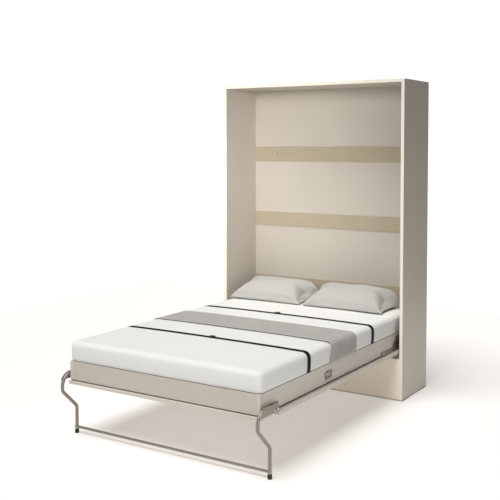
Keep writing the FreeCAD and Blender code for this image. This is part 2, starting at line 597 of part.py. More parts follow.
def leg():
    """The bail that stands on the floor at the foot."""
    parts = {}
    tube = leg_tube()
    bar_room = rod_x(-LEG_X, LEG_X, LEG_SHANK_Y, LEG_CROSSBAR_Z, LEG_CROSSBAR_R)
    bar_bore = rod_x(-LEG_X, LEG_X, LEG_SHANK_Y, LEG_CROSSBAR_Z, LEG_CROSSBAR_R - LEG_CROSSBAR_WALL)
    crossbar = bar_room.cut(bar_bore)
    for sign in (-1, 1):
        crossbar = crossbar.cut(rod_z(0.0, 100.0, sign * LEG_X, LEG_SHANK_Y, LEG_TUBE_R))
    parts["leg_crossbar"] = crossbar
    bolt_x0 = LEG_X + LEG_TUBE_R - LEG_TUBE_WALL
    tube_x1 = LEG_X + LEG_TUBE_R
    bolt = fused([rod_x(bolt_x0, tube_x1 + 1.0, LEG_SHANK_Y, LEG_CROSSBAR_Z, BOLT_R),
                  rod_x(tube_x1 - 0.3, tube_x1 + BOLT_HEAD_H, LEG_SHANK_Y, LEG_CROSSBAR_Z, BOLT_HEAD_R)])
    bolt = bolt.cut(rod_z(0.0, 100.0, LEG_X, LEG_SHANK_Y, LEG_TUBE_R))
    rivet = rod_x(LEG_ARM_X1, LEG_ARM_X1 + 3.0, LEG_PIVOT_Y - 31.0, LEG_PIVOT_Z - 1.0, 5.0)
    rivet = rivet.makeFillet(1.5, [rivet.Edges[0]])
    parts["leg_bolts"] = both_sides([bolt, rivet])
    parts["leg_tube_right"] = tube
    parts["leg_tube_left"] = mirrored(tube)
    cap = rod_z(0.0, FOOT_CAP_H, LEG_X, LEG_SHANK_Y, FOOT_CAP_R)
    cap = cap.makeFillet(2.0, [edge for edge in cap.Edges if edge.BoundBox.ZLength < 0.01])
    cap = cap.cut(rod_z(FOOT_CAP_FLOOR, FOOT_CAP_H + 1.0, LEG_X, LEG_SHANK_Y, LEG_TUBE_R))
    parts["leg_foot_caps"] = both_sides([cap.cut(bar_room)])
    return parts


def gas_spring():
    """Right-hand gas spring: cylinder on the cabinet's anchor, rod towards the bed's stud."""
    anchor = vec(SPRING_X, *SPRING_ANCHOR)
    stud = vec(SPRING_X, *SPRING_STUD)
    length = anchor.distanceToPoint(stud)
    along = (stud - anchor) / length
    eye_xs = (SPRING_X - SPRING_EYE_T / 2.0, SPRING_X + SPRING_EYE_T / 2.0)

    normal = along.cross(vec(1, 0, 0))

    def turned(outline):
        """Solid of revolution about the spring's axis from (distance, radius) points."""
        points = [anchor + along * distance + normal * radius for distance, radius in outline]
        face = Part.Face(Part.makePolygon(points + points[:1]))
        return face.revolve(anchor, along, 360.0)

    def eye(place):
        return rod_x(eye_xs[0], eye_xs[1], place.y, place.z, SPRING_EYE_R)

    def eye_hole(place):
        return rod_x(eye_xs[0] - 1.0, eye_xs[1] + 1.0, place.y, place.z, SPRING_STUD_R + RUN_CLEARANCE)

    neck_r = SPRING_EYE_T / 2.0
    bore_start = SPRING_BODY_START + SPRING_END_WALL
    bore_end = SPRING_BODY_END - SPRING_END_WALL
    gland_r = SPRING_ROD_R + RUN_CLEARANCE
    body = turned([(4.0, 0.0), (4.0, neck_r), (SPRING_BODY_START, neck_r), (SPRING_BODY_START, SPRING_R),
                   (SPRING_BODY_END, SPRING_R), (SPRING_BODY_END, gland_r), (bore_end, gland_r),
                   (bore_end, SPRING_BORE_R), (bore_start, SPRING_BORE_R), (bore_start, 0.0)])
    cylinder = body.fuse(eye(anchor)).cut(eye_hole(anchor))

    piston_r = SPRING_BORE_R - 2.0 * RUN_CLEARANCE
    piston_ends = (bore_start + 3.0, bore_start + 3.0 + SPRING_PISTON_L)
    shaft = turned([(piston_ends[0], 0.0), (piston_ends[0], piston_r), (piston_ends[1], piston_r),
                    (piston_ends[1], SPRING_ROD_R), (length - 6.0, SPRING_ROD_R), (length - 6.0, 0.0)])
    rod = shaft.fuse(eye(stud)).cut(eye_hole(stud))
    return {"spring_cylinder": cylinder, "spring_rod": rod}


def mattress():
    """Mattress: the part inside the bed box, and the fuller part above the rails."""
    y_foot = FOOT_Y + MATTRESS_FOOT_INSET
    y_head = HEAD_Y - MATTRESS_FOOT_INSET
    half = BED_X - MATTRESS_SIDE_INSET
    step = FRAME_Z1 + 2.0
    upper = box((-half, half), (y_foot, y_head), (step, MATTRESS_TOP))
    upper = upper.makeFillet(MATTRESS_R, upper.Edges)
    low_half = BED_IN_X - MATTRESS_BOX_GAP
    inset = BED_BOARD_T + MATTRESS_BOX_GAP
    lower = box((-low_half, low_half), (FOOT_Y + inset, HEAD_Y - inset),
                (SLAT_TOP + SLAT_CAP_WALL, step + MATTRESS_R))
    return upper.fuse(lower)


def band(ys, thickness):
    """A flat band over the mattress and down to the rails on both sides."""
    half = BED_X - MATTRESS_SIDE_INSET + BAND_GAP
    top = MATTRESS_TOP + BAND_GAP

    def profile(grow, low):
        block = box((-half - grow, half + grow), ys, (low, top + grow))
        edges = [edge for edge in block.Edges
                 if edge.BoundBox.YLength > 1.0 and edge.BoundBox.ZMin > top - 1.0]
        return block.makeFillet(MATTRESS_R + BAND_GAP + grow, edges)

    return profile(thickness, FRAME_Z1 + 0.3).cut(profile(0.0, FRAME_Z1 - 50.0))


def pillow(xs):
    """Soft wedge that rises towards the head."""
    y1 = HEAD_Y - 2.0
    y0 = y1 - PILLOW_LENGTH
    z0 = MATTRESS_TOP + 0.6
    outline = [(y0, z0), (y1, z0), (y1, z0 + PILLOW_BACK_H), (y1 - 0.25 * PILLOW_LENGTH, z0 + PILLOW_BACK_H),
               (y0, z0 + PILLOW_FRONT_H)]
    block = plate_x(xs[0], xs[1], outline)
    return block.makeFillet(PILLOW_R, block.Edges)


def bedding():
    parts = {"mattress": mattress()}
    buckles = []
    width, length, height = BUCKLE_SIZE
    for end, y in STRAP_Y.items():
        parts["strap_" + end] = band((y - STRAP_W / 2.0, y + STRAP_W / 2.0), STRAP_T)
        x = BUCKLE_X[end]
        low = MATTRESS_TOP + BAND_GAP + STRAP_T
        buckle = box((x - width / 2.0, x + width / 2.0), (y - length / 2.0, y + length / 2.0),
                     (low, low + height))
        buckles.append(buckle.makeFillet(BUCKLE_R, [e for e in buckle.Edges if e.BoundBox.ZMax > low + 1.0]))
    parts["strap_buckles"] = Part.makeCompound(buckles)
    parts["bed_runner"] = band(RUNNER_Y, RUNNER_T)
    for side, xs in PILLOWS.items():
        parts["pillow_" + side] = pillow(xs)
    return parts


def main():
    parts = cabinet()
    parts.update(bed_frame())
    parts.update(leg())
    parts.update(bedding())
    for name, shape in gas_spring().items():
        parts[name + "_right"] = shape
        parts[name + "_left"] = mirrored(shape)

    os.makedirs("parts", exist_ok=True)
    for name, shape in parts.items():
        shape.translate(vec(0, -ORIGIN_Y, 0))
        shape.exportStep("parts/" + name + ".step")
        print(name, len(shape.Solids), round(shape.Volume / 1000.0, 1))
    print("nodes", len(parts), "origin_y", round(ORIGIN_Y, 2))


main()
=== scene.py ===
import logging
import math
from collections.abc import Callable, Iterable
from dataclasses import dataclass, field
from enum import Enum
from typing import Protocol

import bmesh
import bpy
from mathutils import Euler, Matrix, Vector, noise


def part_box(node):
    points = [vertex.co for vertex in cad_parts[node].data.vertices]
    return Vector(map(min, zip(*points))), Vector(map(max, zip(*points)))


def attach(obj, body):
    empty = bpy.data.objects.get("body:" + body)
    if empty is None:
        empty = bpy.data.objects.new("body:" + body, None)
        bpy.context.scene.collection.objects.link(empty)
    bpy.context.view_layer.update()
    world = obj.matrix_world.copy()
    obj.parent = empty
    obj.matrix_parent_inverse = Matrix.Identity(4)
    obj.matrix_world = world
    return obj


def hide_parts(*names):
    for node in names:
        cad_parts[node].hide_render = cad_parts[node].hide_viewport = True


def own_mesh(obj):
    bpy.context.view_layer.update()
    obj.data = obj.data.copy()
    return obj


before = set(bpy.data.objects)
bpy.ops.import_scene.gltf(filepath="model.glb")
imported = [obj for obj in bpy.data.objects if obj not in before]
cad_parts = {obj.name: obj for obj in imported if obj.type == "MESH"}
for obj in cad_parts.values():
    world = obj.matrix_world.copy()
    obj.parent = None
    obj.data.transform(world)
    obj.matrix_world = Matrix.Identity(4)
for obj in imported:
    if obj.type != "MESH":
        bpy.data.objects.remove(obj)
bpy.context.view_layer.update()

LOG = logging.getLogger("wall_bed")
MM = 0.001
TURN = 2.0 * math.pi
Rgb = tuple[float, float, float]
Span = tuple[float, float]
Tint = Rgb | bpy.types.NodeSocket


def clamp(value: float) -> float:
    """A value held between 0 and 1."""
    return max(0.0, min(1.0, value))


def smooth_step(value: float) -> float:
    """Smooth rise from 0 to 1 as the value goes from 0 to 1."""
    share = clamp(value)
    return share * share * (3.0 - 2.0 * share)


def hump(value: float, span: Span) -> float:
    """Smooth hump of height 1, whose span gives its place and its reach."""
    return math.exp(-(((value - span[0]) / span[1]) ** 2))


class Side(Enum):
    """Left or right of the bed, seen from its foot; the value is the sign of x."""

    LEFT = -1
    RIGHT = 1

    @property
    def word(self) -> str:
        """The side's name as the nodes spell it."""
        return self.name.lower()


class Axis(Enum):
    """A direction of the row frame; the value is its place in a coordinate."""

    X = 0
    Y = 1
    Z = 2

    @property
    def vector(self) -> Vector:
        """Unit vector along the axis."""
        return Vector([1.0 if i == self.value else 0.0 for i in range(3)])


# ---------------------------------------------------------------------------------------------
# Shader graphs
# ---------------------------------------------------------------------------------------------


class Signal:
    """A number that varies over a surface, with the operators that the finishes use."""

    def __init__(self, graph: "Graph", socket: bpy.types.NodeSocket) -> None:
        """Wrap an output socket of a graph."""
        self.graph = graph
        self.socket = socket

    def __add__(self, other: "Signal | float") -> "Signal":
        """Sum with a signal or a number."""
        return self.graph.math("ADD", self, other)

    def __radd__(self, other: float) -> "Signal":
        """Sum with a number on the left."""
        return self.graph.math("ADD", other, self)

    def __sub__(self, other: "Signal | float") -> "Signal":
        """Difference from a signal or a number."""
        return self.graph.math("SUBTRACT", self, other)

    def __rsub__(self, other: float) -> "Signal":
        """A number less this signal."""
        return self.graph.math("SUBTRACT", other, self)

    def __mul__(self, other: "Signal | float") -> "Signal":
        """Product with a signal or a number."""
        return self.graph.math("MULTIPLY", self, other)

    def __rmul__(self, other: float) -> "Signal":
        """Product with a number on the left."""
        return self.graph.math("MULTIPLY", other, self)

    def sine(self) -> "Signal":
        """Sine of the signal in radians."""
        return self.graph.math("SINE", self, 0.0)

    def size(self) -> "Signal":
        """Absolute value."""
        return self.graph.math("ABSOLUTE", self, 0.0)

    def ramp(self, low: float, high: float) -> "Signal":
        """Smooth step from 0 at low to 1 at high.

        Args:
            low: value that gives 0.
            high: value that gives 1.

        Returns:
            The stepped signal.
        """
        node = self.graph.node(
            "ShaderNodeMapRange",
            {"interpolation_type": "SMOOTHSTEP"},
            {"Value": self, "From Min": low, "From Max": high},
        )
        return Signal(self.graph, node.outputs["Result"])


class Wiring:
    """A node tree that is built one node at a time."""

    def __init__(self, tree: bpy.types.NodeTree) -> None:
        """Empty the tree."""
        self.tree = tree
        self.tree.nodes.clear()

    def node(
        self, kind: str, settings: dict[str, object], inputs: dict[str | int, object]
    ) -> bpy.types.Node:
        """Add one node.

        Args:
            kind: the node's type name.
            settings: attributes to set first, such as an operation.
            inputs: input name or number to a value, a socket or a signal.

        Returns:
            The new node.
        """
        made = self.tree.nodes.new(kind)
        for key, value in settings.items():
            setattr(made, key, value)
        for key, value in inputs.items():
            target = made.inputs[key]
            if isinstance(value, Signal):
                self.tree.links.new(value.socket, target)
            elif isinstance(value, bpy.types.NodeSocket):
                self.tree.links.new(value, target)
            else:
                target.default_value = value
        return made


class Graph(Wiring):
    """One material's node tree, built around a single Principled shader."""

    def __init__(self, name: str) -> None:
        """Start an empty material with its shader and output."""
        self.material = bpy.data.materials.new(name)
        self.material.use_nodes = True
        super().__init__(self.material.node_tree)
        self.shader = self.node("ShaderNodeBsdfPrincipled", {}, {})
        self.node("ShaderNodeOutputMaterial", {}, {"Surface": self.shader.outputs["BSDF"]})
        coords = self.node("ShaderNodeTexCoord", {}, {})
        self.place = coords.outputs["Object"]

    def math(self, operation: str, first: Signal | float, second: Signal | float) -> Signal:
        """Add a Math node and return its result."""
        made = self.node("ShaderNodeMath", {"operation": operation}, {0: first, 1: second})
        return Signal(self, made.outputs[0])

    def coordinate(self, axis: Axis) -> Signal:
        """One coordinate of the surface point, in metres."""
        split = self.node("ShaderNodeSeparateXYZ", {}, {0: self.place})
        return Signal(self, split.outputs[axis.value])

    def noise(self, scale: float, detail: float = 3.0, stretch: Rgb = (1.0, 1.0, 1.0)) -> Signal:
        """Soft random pattern from 0 to 1.

        Args:
            scale: cycles per metre.
            detail: number of finer layers.
            stretch: factor on each coordinate; a small one draws the pattern out.

        Returns:
            The pattern.
        """
        scaled = self.node("ShaderNodeVectorMath", {"operation": "MULTIPLY"}, {0: self.place, 1: stretch})
        made = self.node(
            "ShaderNodeTexNoise", {}, {"Vector": scaled.outputs[0], "Scale": scale, "Detail": detail}
        )
        return Signal(self, made.outputs["Fac"])

    def cells(self, scale: float) -> Signal:
        """Distance to the nearest of many random points, for speckle and moulded grain."""
        made = self.node("ShaderNodeTexVoronoi", {}, {"Vector": self.place, "Scale": scale})
        return Signal(self, made.outputs["Distance"])

    def ribs(self, axis: Axis, pitch: float, phase: Signal | float = 0.0) -> Signal:
        """Sine ribs across an axis, from -1 to 1, with the given pitch in metres."""
        return (self.coordinate(axis) * (TURN / pitch) + phase).sine()

    def mix(self, factor: Signal | float, low: Tint, high: Tint) -> bpy.types.NodeSocket:
        """Blend two colours.

        Args:
            factor: 0 gives low and 1 gives high.
            low: first colour, or a colour socket.
            high: second colour, or a colour socket.

        Returns:
            The blended colour's socket.
        """
        ends = {
            slot: tint if isinstance(tint, bpy.types.NodeSocket) else (*tint, 1.0)
            for slot, tint in ((6, low), (7, high))
        }
        made = self.node("ShaderNodeMix", {"data_type": "RGBA"}, {0: factor, **ends})
        return made.outputs[2]

    def relief(self, height: Signal, depth: float) -> bpy.types.NodeSocket:
        """Bump normal from a height signal, with its depth in metres."""
        made = self.node("ShaderNodeBump", {}, {"Height": height, "Distance": depth, "Strength": 1.0})
        return made.outputs["Normal"]

    def close(self, **sockets: object) -> bpy.types.Material:
        """Set the shader's sockets and return the material.

        Args:
            **sockets: socket names with underscores for spaces, and their values.

        Returns:
            The finished material.
        """
        for name, value in sockets.items():
            target = self.shader.inputs[name.replace("_", " ")]
            if isinstance(value, Signal):
                self.tree.links.new(value.socket, target)
            elif isinstance(value, bpy.types.NodeSocket):
                self.tree.links.new(value, target)
            elif isinstance(value, tuple):
                target.default_value = (*value, 1.0)
            else:
                target.default_value = value
        return self.material


# ---------------------------------------------------------------------------------------------
# Finishes
# ---------------------------------------------------------------------------------------------


def shade(colour: Rgb, factor: float) -> Rgb:
    """A colour made lighter or darker by a factor."""
    return tuple(min(1.0, channel * factor) for channel in colour)


class Finish(Protocol):
    """Anything that can make a material."""

    def build(self) -> bpy.types.Material:
        """Make the material."""


@dataclass(frozen=True)
class Melamine:
    """Matt furniture board with a soft pearl and a fine print.

    Attributes:
        name: the material's name.
        colour: middle colour of the board.
        along: direction of the print.
        streaks: strength of the print.
        roughness: middle roughness.
        edge_highlight_y: place along y of a front edge strip that is drawn lighter as a painted highlight,
            if the board has one.
        shadow_band: heights between which a painted shadow along the lower edge fades out, if the board has
            one.
    """

    name: str
    colour: Rgb
    along: Axis = Axis.Z
    streaks: float = 0.25
    roughness: float = 0.46
    edge_highlight_y: float | None = None
    shadow_band: Span | None = None

    def build(self) -> bpy.types.Material:
        """Make the material."""
        graph = Graph(self.name)
        stretch = tuple(0.06 if i == self.along.value else 1.0 for i in range(3))
        print_lines = graph.noise(190.0, 4.0, stretch)
        clouds = graph.noise(3.0, 2.0)
        tooth = graph.noise(900.0, 2.0)
        tone = (print_lines - 0.5) * self.streaks + (clouds - 0.5) * 0.35 + 0.5
        colour = graph.mix(tone.ramp(0.0, 1.0), shade(self.colour, 0.93), shade(self.colour, 1.06))
        # Painted highlight: the strip on the front edge is drawn lighter, standing in for the light that
        # falls on it.
        if self.edge_highlight_y is not None:
            edge = 1.0 - graph.coordinate(Axis.Y).ramp(self.edge_highlight_y + 0.2 * MM, self.edge_highlight_y + 0.9 * MM)
            colour = graph.mix(edge, colour, shade(self.colour, 1.5))
        # Painted shadow: the lowest strip of the board is drawn near black, standing in for the contact
        # shadow at the floor or the shadow gap under a rail.
        if self.shadow_band is not None:
            shadow = 1.0 - graph.coordinate(Axis.Z).ramp(*self.shadow_band)
            colour = graph.mix(shadow * 0.85, colour, shade(self.colour, 0.12))
        rough = self.roughness + (clouds - 0.5) * 0.10 + (tooth - 0.5) * 0.06
        bump = graph.relief(tooth * 0.6 + print_lines * 0.4, 0.10 * MM)
        return graph.close(Base_Color=colour, Roughness=rough, Normal=bump, Specular_IOR_Level=0.42)


@dataclass(frozen=True)
class GrainedBoard:
    """Board with an open wood print that runs along x."""

    name: str
    colour: Rgb
    contrast: float = 0.16

    def build(self) -> bpy.types.Material:
        """Make the material."""
        graph = Graph(self.name)
        warp = graph.noise(5.0, 2.0, (0.3, 1.0, 1.0))
        rings = (graph.coordinate(Axis.Z) * 320.0 + warp * 16.0).sine()
        fibres = graph.noise(420.0, 4.0, (0.02, 1.0, 1.0))
        tone = rings * 0.08 + (fibres - 0.5) * 1.1 + 0.5
        low, high = shade(self.colour, 1.0 - self.contrast), shade(self.colour, 1.0 + self.contrast * 0.6)
        colour = graph.mix(tone.ramp(0.0, 1.0), low, high)
        bump = graph.relief(fibres, 0.14 * MM)
        return graph.close(Base_Color=colour, Roughness=0.5 + (fibres - 0.5) * 0.14, Normal=bump)


@dataclass(frozen=True)
class KnitCover:
    """Stretch knit of the mattress: tiny loops in a quilted double layer."""

    name: str
    colour: Rgb
    loop: float = 2.6 * MM
    quilt: float = 46.0 * MM

    def build(self) -> bpy.types.Material:
        """Make the material."""
        graph = Graph(self.name)
        wave = graph.ribs(Axis.X, self.loop) * graph.ribs(Axis.Y, self.loop * 1.3)
        side = graph.ribs(Axis.Z, self.loop * 1.2) * 0.6
        loops = wave + side
        u = graph.coordinate(Axis.X) + graph.coordinate(Axis.Y)
        v = graph.coordinate(Axis.X) - graph.coordinate(Axis.Y)
        diamonds = (u * (math.pi / self.quilt)).sine().size() * (v * (math.pi / self.quilt)).sine().size()
        seams = diamonds.ramp(0.0, 0.25)
        fuzz = graph.noise(1500.0, 2.0)
        broad = graph.noise(4.0, 2.0)
        tone = (fuzz * 0.45 + broad * 0.35 + seams * 0.2).ramp(0.1, 0.9)
        colour = graph.mix(tone, shade(self.colour, 0.965), self.colour)
        bump = graph.relief(loops * 0.10 + seams * 0.55 + fuzz * 0.15, 0.5 * MM)
        return graph.close(
            Base_Color=colour, Roughness=0.86 + (fuzz - 0.5) * 0.1, Normal=bump, Sheen_Weight=0.04,
            Sheen_Roughness=0.5, Specular_IOR_Level=0.2,
        )


@dataclass(frozen=True)
class PlainWeave:
    """Plain woven cloth whose yarns follow the piece's own map."""

    name: str
    colour: Rgb
    yarn: float
    depth: float
    contrast: float = 0.08
    sheen: float = 0.06
    shadow_band: float | None = None

    def build(self) -> bpy.types.Material:
        """Make the material."""
        graph = Graph(self.name)
        warp = graph.ribs(Axis.X, self.yarn * 2.0)
        weft = graph.ribs(Axis.Y, self.yarn * 2.0)
        drop = graph.ribs(Axis.Z, self.yarn * 2.0)
        weave = warp * weft + drop * warp * 0.6 + drop * weft * 0.6
        slub = graph.noise(0.25 / self.yarn, 3.0, (0.12, 1.0, 1.0))
        pick = graph.noise(0.25 / self.yarn, 3.0, (1.0, 0.12, 0.4))
        tone = (weave * 0.18 + (slub - 0.5) * 0.9 + (pick - 0.5) * 0.9 + 0.5).ramp(0.0, 1.0)
        low, high = shade(self.colour, 1.0 - self.contrast), shade(self.colour, 1.0 + self.contrast)
        colour = graph.mix(tone, low, high)
        # Painted shadow: a dark strip along the front edge on the mattress top, standing in for the shadow
        # under the runner's folded edge.
        if self.shadow_band is not None:
            level = graph.coordinate(Axis.Z).ramp(MATTRESS_TOP - 16.0 * MM, MATTRESS_TOP - 6.0 * MM)
            painted_shadow = level - level * graph.coordinate(Axis.Y).ramp(self.shadow_band + 4.0 * MM, self.shadow_band + 6.0 * MM)
            colour = graph.mix(painted_shadow, colour, shade(self.colour, 0.16))
        bump = graph.relief(weave * 0.5 + slub + pick, self.depth)
        return graph.close(
            Base_Color=colour, Roughness=0.88 + (slub - 0.5) * 0.1, Normal=bump, Sheen_Weight=self.sheen,
            Sheen_Roughness=0.45, Specular_IOR_Level=0.2,
        )


@dataclass(frozen=True)
class Webbing:
    """Tight black strap webbing with ribs across its length."""

    name: str
    colour: Rgb
    rib: float = 1.6 * MM

    def build(self) -> bpy.types.Material:
        """Make the material."""
        graph = Graph(self.name)
        across = graph.ribs(Axis.X, self.rib) + graph.ribs(Axis.Z, self.rib)
        along = graph.ribs(Axis.Y, self.rib * 1.9)
        lint = graph.noise(700.0, 3.0)
        tone = (across * 0.14 + along * 0.14 + lint).ramp(0.2, 1.0)
        colour = graph.mix(tone, shade(self.colour, 0.7), shade(self.colour, 1.7))
        bump = graph.relief(across * 0.5 + along * 0.5, 0.25 * MM)
        rough = 0.7 + (lint - 0.5) * 0.2
        return graph.close(Base_Color=colour, Roughness=rough, Normal=bump, Specular_IOR_Level=0.2)


@dataclass(frozen=True)
class PowderCoat:
    """Baked powder paint on steel: fine orange peel, worn a little through at rubbed places."""

    name: str
    colour: Rgb
    metallic: float = 0.55
    roughness: float = 0.36
    peel: float = 0.10 * MM

    def build(self) -> bpy.types.Material:
        """Make the material."""
        graph = Graph(self.name)
        peel = graph.noise(520.0, 2.0)
        sparkle = graph.cells(2600.0)
        rub = graph.noise(26.0, 5.0).ramp(0.62, 0.80)
        tone = (peel * 0.5 + sparkle * 0.5).ramp(0.1, 0.9)
        coat = graph.mix(tone, shade(self.colour, 0.88), shade(self.colour, 1.12))
        colour = graph.mix(rub * 0.25, coat, shade(self.colour, 1.35))
        rough = self.roughness + (peel - 0.5) * 0.16 - rub * 0.06
        return graph.close(
            Base_Color=colour, Metallic=self.metallic, Roughness=rough, Normal=graph.relief(peel, self.peel)
        )


@dataclass(frozen=True)
class PlatedSteel:
    """Bright plated steel with faint machining lines and handling marks."""

    name: str
    colour: Rgb
    roughness: float = 0.28

    def build(self) -> bpy.types.Material:
        """Make the material."""
        graph = Graph(self.name)
        lines = graph.noise(900.0, 2.0, (0.05, 1.0, 1.0))
        marks = graph.noise(60.0, 4.0)
        colour = graph.mix(marks.ramp(0.3, 0.8), shade(self.colour, 0.86), self.colour)
        rough = self.roughness + (marks - 0.5) * 0.22 + (lines - 0.5) * 0.08
        return graph.close(
            Base_Color=colour, Metallic=1.0, Roughness=rough, Normal=graph.relief(lines, 0.04 * MM)
        )


@dataclass(frozen=True)
class Moulded:
    """Moulded black plastic or rubber with a fine spark-eroded grain."""

    name: str
    colour: Rgb
    roughness: float = 0.48
    grain: float = 0.12 * MM

    def build(self) -> bpy.types.Material:
        """Make the material."""
        graph = Graph(self.name)
        grain = graph.cells(1400.0)
        dust = graph.noise(35.0, 4.0)
        colour = graph.mix(dust.ramp(0.35, 0.85), self.colour, shade(self.colour, 1.5))
        rough = self.roughness + (dust - 0.5) * 0.18 + grain * 0.05
        return graph.close(Base_Color=colour, Roughness=rough, Normal=graph.relief(grain, self.grain))


@dataclass(frozen=True)
class BentWood:
    """Laminated slats and softwood battens, with the grain along one axis."""

    name: str
    colour: Rgb
    along: Axis = Axis.X

    def build(self) -> bpy.types.Material:
        """Make the material."""
        graph = Graph(self.name)
        stretch = tuple(0.03 if i == self.along.value else 1.0 for i in range(3))
        fibres = graph.noise(260.0, 5.0, stretch)
        figure = graph.noise(24.0, 3.0, stretch)
        tone = ((fibres - 0.5) * 0.9 + (figure - 0.5) * 0.8 + 0.5).ramp(0.0, 1.0)
        colour = graph.mix(tone, shade(self.colour, 0.74), shade(self.colour, 1.10))
        rough = 0.52 + (fibres - 0.5) * 0.2
        return graph.close(Base_Color=colour, Roughness=rough, Normal=graph.relief(fibres, 0.2 * MM))


FRONT_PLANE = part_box("side_panel_left")[0].y
RAIL_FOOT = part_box("footboard")[0].z
RUNNER_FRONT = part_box("bed_runner")[0].y
MATTRESS_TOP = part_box("mattress")[1].z
CASHMERE: Rgb = (0.600, 0.550, 0.482)
TAUPE_STEEL: Rgb = (0.270, 0.238, 0.203)
# Painted shadow strips: the floor one stands in for the contact shadow at the floor, the rail one for the
# shadow gap above the door.
FLOOR_SHADOW_BAND: Span = (5.0 * MM, 14.0 * MM)
RAIL_SHADOW_BAND: Span = (RAIL_FOOT, RAIL_FOOT + 6.0 * MM)

FINISHES: dict[str, Finish] = {
    # Carcass boards carry a painted highlight on their front edges and a painted shadow strip at the floor.
    "carcass": Melamine("carcass_board", CASHMERE, edge_highlight_y=FRONT_PLANE, shadow_band=FLOOR_SHADOW_BAND),
    "shelf_edge": Melamine("carcass_board_across", CASHMERE, Axis.X, edge_highlight_y=FRONT_PLANE, shadow_band=FLOOR_SHADOW_BAND),
    "back": Melamine("back_board", shade(CASHMERE, 0.98), Axis.Z, 0.15, 0.52),
    "cross_rail": GrainedBoard("cross_rail_board", (0.47, 0.405, 0.29)),
    "bed_board": Melamine("bed_board", shade(CASHMERE, 0.98), Axis.Y, shadow_band=RAIL_SHADOW_BAND),
    # Painted shade: the footboard is a darker copy of the board colour, standing in for the lesser light on
    # its face.
    "footboard": Melamine("footboard_board_shaded", shade(CASHMERE, 0.88), Axis.X),
    "door": Melamine("door_board", CASHMERE, Axis.Y),
    "birch": BentWood("slat_birch", (0.60, 0.43, 0.25)),
    "batten": BentWood("batten_pine", (0.58, 0.41, 0.23), Axis.Y),
    "bracket": PowderCoat("bracket_paint", (0.235, 0.212, 0.172), 0.35, 0.42),
    "leg": PowderCoat("leg_paint", TAUPE_STEEL, 0.35, 0.36),
    "zinc": PlatedSteel("zinc_plate", (0.66, 0.64, 0.60)),
    "chrome": PlatedSteel("rod_chrome", (0.80, 0.80, 0.81), 0.10),
    "lacquer": PowderCoat("cylinder_lacquer", (0.025, 0.025, 0.028), 0.2, 0.30, 0.03 * MM),
    "plastic": Moulded("black_moulding", (0.011, 0.011, 0.011), 0.55),
    "rubber": Moulded("stop_rubber", (0.03, 0.03, 0.03), 0.72, 0.2 * MM),
    "knit": KnitCover("mattress_knit", (0.75, 0.748, 0.735)),
    "cotton": PlainWeave("pillow_cotton", (0.455, 0.447, 0.426), 0.7 * MM, 0.18 * MM, 0.04),
    # The runner's front edge carries a painted shadow line on the mattress top.
    "throw": PlainWeave("runner_weave", (0.43, 0.412, 0.395), 2.2 * MM, 0.9 * MM, 0.14, 0.05, RUNNER_FRONT),
    "webbing": Webbing("strap_webbing", (0.0045, 0.0045, 0.0048)),
}


class Palette:
    """Builds each finish once and hands out its material."""

    def __init__(self) -> None:
        """Start with nothing built."""
        self.made: dict[str, bpy.types.Material] = {}

    def get(self, key: str) -> bpy.types.Material:
        """The material of a finish, by its short name."""
        if key not in self.made:
            self.made[key] = FINISHES[key].build()
        return self.made[key]

    def dress(self, node: str, key: str) -> None:
        """Give a CAD node its finish."""
        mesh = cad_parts[node].data
        mesh.materials.clear()
        mesh.materials.append(self.get(key))
        LOG.info("dressed %s with %s", node, key)


# ---------------------------------------------------------------------------------------------
# Mesh making
# ---------------------------------------------------------------------------------------------


class Shaper:
    """A bmesh in the making, with the few operations that the pieces share."""

    def __init__(self) -> None:
        """Start empty."""
        self.bm = bmesh.new()

    def block(self, low: Vector, high: Vector) -> "Shaper":
        """Add a block between two corners."""
        size = high - low
        place = Matrix.Translation((low + high) / 2.0) @ Matrix.Diagonal((*size, 1.0))
        bmesh.ops.create_cube(self.bm, size=1.0, matrix=place)
        return self

    def round_edges(
        self, radius: float, segments: int, choose: Callable[[bmesh.types.BMEdge], bool] | None = None
    ) -> "Shaper":
        """Bevel edges round.

        Args:
            radius: how far the rounding reaches, in metres.
            segments: steps round each edge.
            choose: keeps the edges to round; all of them if left out.

        Returns:
            This shaper.
        """
        edges = [edge for edge in self.bm.edges if choose is None or choose(edge)]
        bmesh.ops.bevel(
            self.bm, geom=edges, offset=radius, segments=segments, profile=0.5, affect="EDGES", material=-1
        )
        return self

    def slice(self, axis: Axis, spots: Iterable[float]) -> "Shaper":
        """Cut the mesh across an axis at each spot, so that it can bend there."""
        for spot in spots:
            geom = [*self.bm.verts, *self.bm.edges, *self.bm.faces]
            bmesh.ops.bisect_plane(self.bm, geom=geom, plane_co=axis.vector * spot, plane_no=axis.vector)
        return self

    def warp(self, rule: Callable[[Vector], Vector]) -> "Shaper":
        """Move every vertex by a rule from its old place to its new one."""
        for vert in self.bm.verts:
            vert.co = rule(vert.co)
        return self

    def finish(self, name: str, material: bpy.types.Material, sharp: float = 40.0) -> bpy.types.Object:
        """Close the bmesh into an object at the origin.

        Args:
            name: the piece's name.
            material: its finish.
            sharp: edges that turn by more than this many degrees stay crisp.

        Returns:
            The new object, linked to the scene.
        """
        bmesh.ops.remove_doubles(self.bm, verts=self.bm.verts, dist=1e-6)
        bmesh.ops.recalc_face_normals(self.bm, faces=self.bm.faces)
        mesh = bpy.data.meshes.new(name)
        self.bm.to_mesh(mesh)
        self.bm.free()
        mesh.shade_smooth()
        mesh.set_sharp_from_angle(angle=math.radians(sharp))
        mesh.materials.append(material)
        obj = bpy.data.objects.new(name, mesh)
        bpy.context.scene.collection.objects.link(obj)
        return obj


